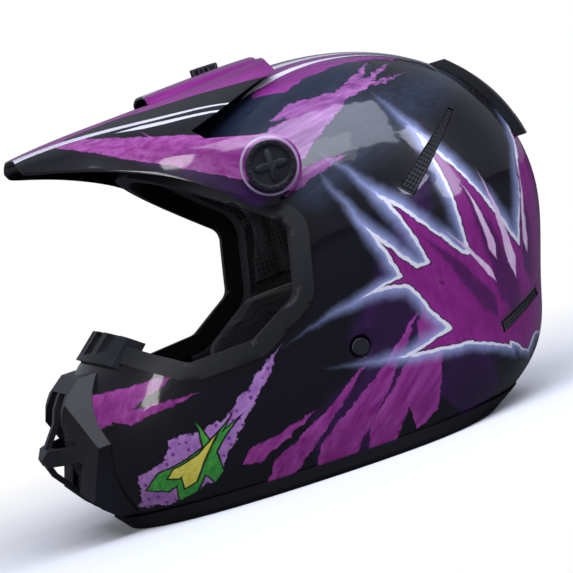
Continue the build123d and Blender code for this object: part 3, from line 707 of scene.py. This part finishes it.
def sideCutter(name, outline, halfWidth):
    # a prism through the helmet from a side outline in X and Z
    bpy.ops.mesh.primitive_circle_add(vertices=len(outline), fill_type="NGON")
    cutter = bpy.context.object
    cutter.name = name
    for vertex, (x, z) in zip(cutter.data.vertices, outline):
        vertex.co = Vector((x, -halfWidth, z)) * mm
    bpy.ops.object.mode_set(mode="EDIT")
    bpy.ops.mesh.select_all(action="SELECT")
    bpy.ops.mesh.extrude_region_move(TRANSFORM_OT_translate={"value": (0, 2 * halfWidth * mm, 0)})
    bpy.ops.mesh.select_all(action="SELECT")
    bpy.ops.mesh.normals_make_consistent(inside=False)
    bpy.ops.object.mode_set(mode="OBJECT")
    return cutter


def cutAway(piece, cutter):
    useModifier(piece, "BOOLEAN", operation="DIFFERENCE", solver="EXACT", object=cutter)
    bpy.data.objects.remove(cutter)


def softEdges(piece, width, angle=40):
    useModifier(piece, "BEVEL", width=width * mm, segments=2, limit_method="ANGLE",
                angle_limit=math.radians(angle))
    activate(piece)
    bpy.ops.object.shade_smooth_by_angle(angle=math.radians(30))


def armOutline(cage):
    # what the side view takes away: everything behind the brow line except the two arms
    pivotX, pivotZ = cage["pivot"]
    top = cage["brow"][-1][1]
    outline = [*cage["brow"], (cage["behind"], top), (cage["behind"], cage["below"]), (pivotX, cage["below"])]
    for degrees in range(-90, 91, 15):
        turn = math.radians(degrees)
        outline.append((pivotX + cage["armRadius"] * math.cos(turn),
                        pivotZ + cage["armRadius"] * math.sin(turn)))
    return [*outline, cage["slot"]]


def cagedPiece(name, cage):
    piece = cageSurface(name, cage["stations"], cage["creases"])
    useModifier(piece, "SUBSURF", levels=3, render_levels=3)
    useModifier(piece, "SOLIDIFY", thickness=cage["wall"] * mm, offset=-1.0)
    return piece


visor = cagedPiece("visorBlade", visorCage)
cutAway(visor, sideCutter("visorCutter", armOutline(visorCage), 140))
softEdges(visor, visorCage["edge"])
settle(visor, "visor", "visor_paint", "visor")

scoopCage = {
    "wall": 2.0, "edge": 0.4,
    "stations": [
        (-46, [(0, 239.4), (13, 239.2), (22, 237.2), (27, 231.0)]),
        (-30, [(0, 240.2), (17, 240.0), (27, 238.0), (33, 232.0)]),
        (-8, [(0, 241.4), (22, 241.0), (32, 238.6), (38, 233.0)]),
        (10, [(0, 242.2), (25, 241.6), (35, 239.2), (41, 233.6)]),
        (22, [(0, 242.2), (26, 241.4), (36, 239.0), (42, 234.0)]),
    ],
    "creases": {1: 0.3, 2: 0.5},
}
scoop = cagedPiece("visorScoopHood", scoopCage)
softEdges(scoop, scoopCage["edge"])
settle(scoop, "visor", "visor_paint", "visor_scoop")

print("knobs")
# a dished disc with a raised rim, a four-pointed grip and a ring of small studs
knobShape = {"at": (-6.0, 181.0), "radius": 14.4, "base": 112.4, "height": 7.2, "rim": 2.9, "dish": 1.7,
             "lip": 0.6, "grip": 9.6, "waist": 2.6, "points": 2.2, "gripDepth": 1.6, "gripRise": 0.6,
             "edge": 0.35, "studs": 16, "studRadius": 0.75, "studHeight": 1.0, "stem": 3.0, "stemFrom": 97.0}


def pickFaces(piece, test):
    # goes into edit mode with only the faces that pass the test selected
    activate(piece)
    bpy.ops.object.mode_set(mode="EDIT")
    bpy.ops.mesh.select_mode(type="FACE")
    bpy.ops.mesh.select_all(action="DESELECT")
    bpy.ops.object.mode_set(mode="OBJECT")
    for face in piece.data.polygons:
        face.select = test(face)
    bpy.ops.object.mode_set(mode="EDIT")


def joinInto(piece, others):
    bpy.ops.object.select_all(action="DESELECT")
    for other in others:
        other.select_set(True)
    piece.select_set(True)
    bpy.context.view_layer.objects.active = piece
    bpy.ops.object.join()


def addCylinder(vertices, radius, depth, place):
    bpy.ops.mesh.primitive_cylinder_add(vertices=vertices, radius=radius * mm, depth=depth * mm,
                                        location=Vector(place) * mm)
    piece = bpy.context.object
    keepInPlace(piece)
    return piece


def grippedKnob(name, side, knob):
    # built lying flat with its foot at the origin, then stood on its side
    piece = addCylinder(64, knob["radius"], knob["height"], (0, 0, knob["height"] / 2))
    piece.name = name
    pickFaces(piece, lambda face: face.normal.z > 0.9)
    bpy.ops.mesh.inset(thickness=knob["rim"] * mm)
    bpy.ops.mesh.extrude_region_move(TRANSFORM_OT_translate={"value": (0, 0, -knob["dish"] * mm)})
    bpy.ops.mesh.inset(thickness=knob["lip"] * mm)
    bpy.ops.object.mode_set(mode="OBJECT")
    grip = addCylinder(32, knob["grip"], knob["gripDepth"],
                       (0, 0, knob["height"] - knob["dish"] + knob["gripRise"]))
    for vertex in grip.data.vertices:
        turn = math.atan2(vertex.co.y, vertex.co.x)
        reach = knob["waist"] + (knob["grip"] - knob["waist"]) * abs(math.cos(2 * turn)) ** knob["points"]
        vertex.co.x, vertex.co.y = reach * mm * math.cos(turn), reach * mm * math.sin(turn)
    stemLength = knob["base"] - knob["stemFrom"]
    stem = addCylinder(24, knob["stem"], stemLength, (0, 0, -stemLength / 2))
    studs = []
    reach = knob["radius"] - knob["rim"] / 2
    for count in range(knob["studs"]):
        turn = 2 * math.pi * count / knob["studs"]
        studs.append(addCylinder(10, knob["studRadius"], knob["studHeight"],
                                 (reach * math.cos(turn), reach * math.sin(turn), knob["height"])))
    joinInto(piece, [grip, stem, *studs])
    softEdges(piece, knob["edge"], 30)
    piece.data.transform(Matrix.Rotation(math.radians(-90 * side), 4, "X"))
    piece.data.transform(Matrix.Translation(Vector((knob["at"][0], side * knob["base"], knob["at"][1])) * mm))
    return piece


for side, word in sides:
    settle(grippedKnob(f"{word}Knob", side, knobShape), f"knob_{word}", "satin_plastic", f"visor_knob_{word}")

print("mouth mesh")
# woven wire over the breathing hole, 3 mm to the cell, dropped back on to its node from in front
mouthWire = {"width": 61.4, "height": 38.4, "middle": 57.5, "across": 21, "up": 13, "wire": 0.8, "edge": 0.1,
             "front": -190, "missed": -185}
bpy.ops.mesh.primitive_grid_add(x_subdivisions=mouthWire["across"], y_subdivisions=mouthWire["up"], size=1)
mouthMesh = bpy.context.object
mouthMesh.name = "mouthWire"
for vertex in mouthMesh.data.vertices:
    y, z = -vertex.co.x * mouthWire["width"], mouthWire["middle"] + vertex.co.y * mouthWire["height"]
    vertex.co = Vector((mouthWire["front"], y, z)) * mm
useModifier(mouthMesh, "SHRINKWRAP", wrap_method="PROJECT", use_project_x=True, use_positive_direction=True,
            use_negative_direction=False, target=nodes["mouth_vent_mesh"], offset=0)
pickFaces(mouthMesh, lambda face: any(mouthMesh.data.vertices[corner].co.x < mouthWire["missed"] * mm
                                      for corner in face.vertices))
bpy.ops.mesh.delete(type="FACE")
bpy.ops.object.mode_set(mode="OBJECT")
useModifier(mouthMesh, "WIREFRAME", thickness=mouthWire["wire"] * mm, offset=0, use_replace=True)
useModifier(mouthMesh, "BEVEL", width=mouthWire["edge"] * mm, segments=1, limit_method="ANGLE")
settle(mouthMesh, "helmet", "mesh_metal", "mouth_vent_mesh")

print("vent grilles")
# fine wire grilles in the exhaust slots. Corners run round each slot, seen from the side or from above
slotGrilles = {
    "side_vent": {"corners": [(61, 147), (69, 139), (115, 178), (112, 180)], "along": 20, "across": 4,
                  "top": False},
    "low_vent": {"corners": [(103, 45), (103, 52), (138, 62), (139, 57)], "along": 12, "across": 3,
                 "top": False},
    "crown_vent": {"corners": [(76, 51), (83, 58), (122, 45), (118, 37)], "along": 14, "across": 4,
                   "top": True},
}
# shares of the slot left free at its ends and sides, and where a grid starts, above or beside the shell
grilleFit = {"ends": 0.04, "sides": 0.1, "above": 290, "beside": 140, "lift": 0.3, "wire": 0.8}


def slotGrille(name, node, grille, side):
    # a grid stretched between the slot's corners, dropped on to the insert and made into wires
    a, b, c, d = (Vector(corner) for corner in grille["corners"])
    ends, flanks, top = grilleFit["ends"], grilleFit["sides"], grille["top"]
    bpy.ops.mesh.primitive_grid_add(x_subdivisions=grille["along"], y_subdivisions=grille["across"], size=1)
    piece = bpy.context.object
    piece.name = name
    for vertex in piece.data.vertices:
        u = ends + (1 - 2 * ends) * (vertex.co.x + 0.5)
        v = flanks + (1 - 2 * flanks) * (vertex.co.y + 0.5)
        place = (a.lerp(b, v)).lerp(d.lerp(c, v), u)
        if top:
            vertex.co = Vector((place.x, side * place.y, grilleFit["above"])) * mm
        else:
            vertex.co = Vector((place.x, side * grilleFit["beside"], place.y)) * mm
    useModifier(piece, "SHRINKWRAP", wrap_method="PROJECT", target=nodes[node], offset=grilleFit["lift"] * mm,
                use_positive_direction=not top and side < 0, use_negative_direction=top or side > 0,
                use_project_y=not top, use_project_z=top)
    useModifier(piece, "WIREFRAME", thickness=grilleFit["wire"] * mm, offset=0, use_replace=True)
    activate(piece)
    bpy.ops.object.mode_set(mode="EDIT")
    bpy.ops.mesh.select_mode(type="VERT")
    bpy.ops.mesh.select_all(action="SELECT")
    bpy.ops.mesh.normals_make_consistent(inside=False)
    bpy.ops.object.mode_set(mode="OBJECT")
    return piece


for side, word in sides:
    for vent, grille in slotGrilles.items():
        name = word + vent.title().replace("_", "") + "Grille"
        settle(slotGrille(name, f"{vent}_{word}", grille, side), "helmet", "mesh_metal")

print("straps")
# webbing laid along the same runs as the CAD bands, as (Y, Z)
strapShape = {
    "x": 14.0, "width": 24.0, "thick": 2.2, "edge": 0.5,
    "short": {"node": "chin_strap_short",
              "run": [(-94, 77), (-94, 60), (-93.6, 46), (-92, 36), (-85, 22), (-76, 15.2), (-66, 14.8),
                      (-56, 15.25), (-48.5, 15.25), (-45.2, 14.2), (-44.4, 10.4), (-45.2, 6.4), (-48.5, 5.55),
                      (-55.5, 5.6), (-59.5, 7.6), (-63.6, 12.0)]},
    "long": {"node": "chin_strap_long",
             "run": [(94, 77), (94, 60), (93.6, 46), (92, 36), (85, 22), (76, 13.8), (60, 10.4), (40, 6.6),
                     (20, 5.2), (0, 4.3), (-24, 4.0), (-35, 5.2), (-39.6, 9), (-40.4, 14), (-39.8, 19.4),
                     (-36.6, 20.6), (-33, 17.6), (-29, 14.7), (-20, 11.7), (-8, 9.9), (6, 9.2), (22, 9.4)]},
}


def webbingStrap(name, run):
    # a smooth path in Y and Z, made a mesh, pulled out across X and given its thickness
    bpy.ops.curve.primitive_nurbs_path_add()
    path = bpy.context.object
    path.name = name
    spline = path.data.splines[0]
    spline.points.add(len(run) - len(spline.points))
    for point, (y, z) in zip(spline.points, run):
        point.co = ((strapShape["x"] - strapShape["width"] / 2) * mm, y * mm, z * mm, 1)
    spline.order_u = 3
    spline.use_endpoint_u = True
    spline.resolution_u = 6
    activate(path)
    bpy.ops.object.convert(target="MESH")
    strap = bpy.context.object
    # how far along the strap each point lies, kept by its Y and Z for the UV map
    reached, length, last = {}, 0.0, strap.data.vertices[0].co.copy()
    for vertex in strap.data.vertices:
        length += (vertex.co - last).length
        last = vertex.co.copy()
        reached[sidePlace(vertex)] = length
    bpy.ops.object.mode_set(mode="EDIT")
    bpy.ops.mesh.select_mode(type="VERT")
    bpy.ops.mesh.select_all(action="SELECT")
    bpy.ops.mesh.extrude_region_move(TRANSFORM_OT_translate={"value": (strapShape["width"] * mm, 0, 0)})
    bpy.ops.object.mode_set(mode="OBJECT")
    layer = strap.data.uv_layers.new(name="UVMap")
    for loop in strap.data.loops:
        vertex = strap.data.vertices[loop.vertex_index]
        across = (vertex.co.x / mm - strapShape["x"]) / strapShape["width"] + 0.5
        layer.data[loop.index].uv = (reached[sidePlace(vertex)] / length, across)
    useModifier(strap, "SOLIDIFY", thickness=strapShape["thick"] * mm, offset=0)
    softEdges(strap, strapShape["edge"], 50)
    return strap, length / mm


def sidePlace(vertex):
    return round(vertex.co.y, 6), round(vertex.co.z, 6)


for word in ("short", "long"):
    strap, length = webbingStrap(f"{word}Strap", strapShape[word]["run"])
    webbing = wovenWebbing(f"{word}Webbing", herringbone, length, strapShape["width"])
    settle(strap, "chin_strap", "strap_webbing", strapShape[word]["node"], finish=webbing)

print("pads")
# cloth pads: blown up a little inside their covers, then sewn down along channels that lie at a place on an
# axis. "cap" is the furthest that the cloth may move, "shrink" the room it is given first
padShapes = {
    "cheek_pad_left": {"name": "leftCheekPad", "voxel": 4.5, "shrink": 1.6, "cap": 6, "fill": 0.7,
                       "channels": [("Z", 62)], "depth": 2.4},
    "cheek_pad_right": {"name": "rightCheekPad", "voxel": 4.5, "shrink": 1.6, "cap": 6, "fill": 0.7,
                        "channels": [("Z", 62)], "depth": 2.4},
    "neck_roll": {"name": "neckRollPad", "voxel": 4.0, "shrink": 1.4, "cap": 5, "fill": 0.8,
                  "channels": [("Y", -30), ("Y", 30)], "depth": 2.0},
    "crown_liner": {"name": "crownPad", "voxel": 4.0, "shrink": 1.0, "cap": 3, "fill": 0.4,
                    "channels": [("Y", -26), ("Y", 26), ("X", 20), ("X", 76)], "depth": 1.6},
}
padMaking = {"pressure": 4.0, "frames": 20, "channelWidth": 2.6}


def swell(piece, cap):
    start = [vertex.co.copy() for vertex in piece.data.vertices]
    activate(piece)
    cloth = piece.modifiers.new("cloth", "CLOTH")
    cloth.settings.use_pressure = True
    cloth.settings.uniform_pressure_force = padMaking["pressure"]
    cloth.settings.effector_weights.gravity = 0
    cloth.point_cache.frame_start, cloth.point_cache.frame_end = 1, padMaking["frames"]
    for step in range(1, padMaking["frames"] + 1):
        bpy.context.scene.frame_set(step)
    bpy.ops.object.modifier_apply(modifier="cloth")
    bpy.context.scene.frame_set(1)
    for vertex, old in zip(piece.data.vertices, start):
        move = vertex.co - old
        if move.length > cap * mm:
            vertex.co = old + move.normalized() * cap * mm


def sewnPad(node, pad):
    piece = standIn(node, pad["name"])
    useModifier(piece, "REMESH", mode="VOXEL", voxel_size=pad["voxel"] * mm)
    useModifier(piece, "DISPLACE", strength=-pad["shrink"] * mm, mid_level=0)
    useModifier(piece, "SMOOTH", iterations=6, factor=0.5)
    swell(piece, pad["cap"])
    useModifier(piece, "SUBSURF", levels=1, render_levels=1)
    normals = [vertex.normal.copy() for vertex in piece.data.vertices]
    for vertex, normal in zip(piece.data.vertices, normals):
        place = dict(zip("XYZ", vertex.co / mm))
        push = max(math.exp(-((place[axis] - at) / padMaking["channelWidth"]) ** 2) for axis,
                   at in pad["channels"])
        vertex.co -= normal * push * pad["depth"] * mm
    activate(piece)
    bpy.ops.object.shade_smooth()
    settle(piece, "helmet", "liner_cloth", node)


for node, pad in padShapes.items():
    sewnPad(node, pad)
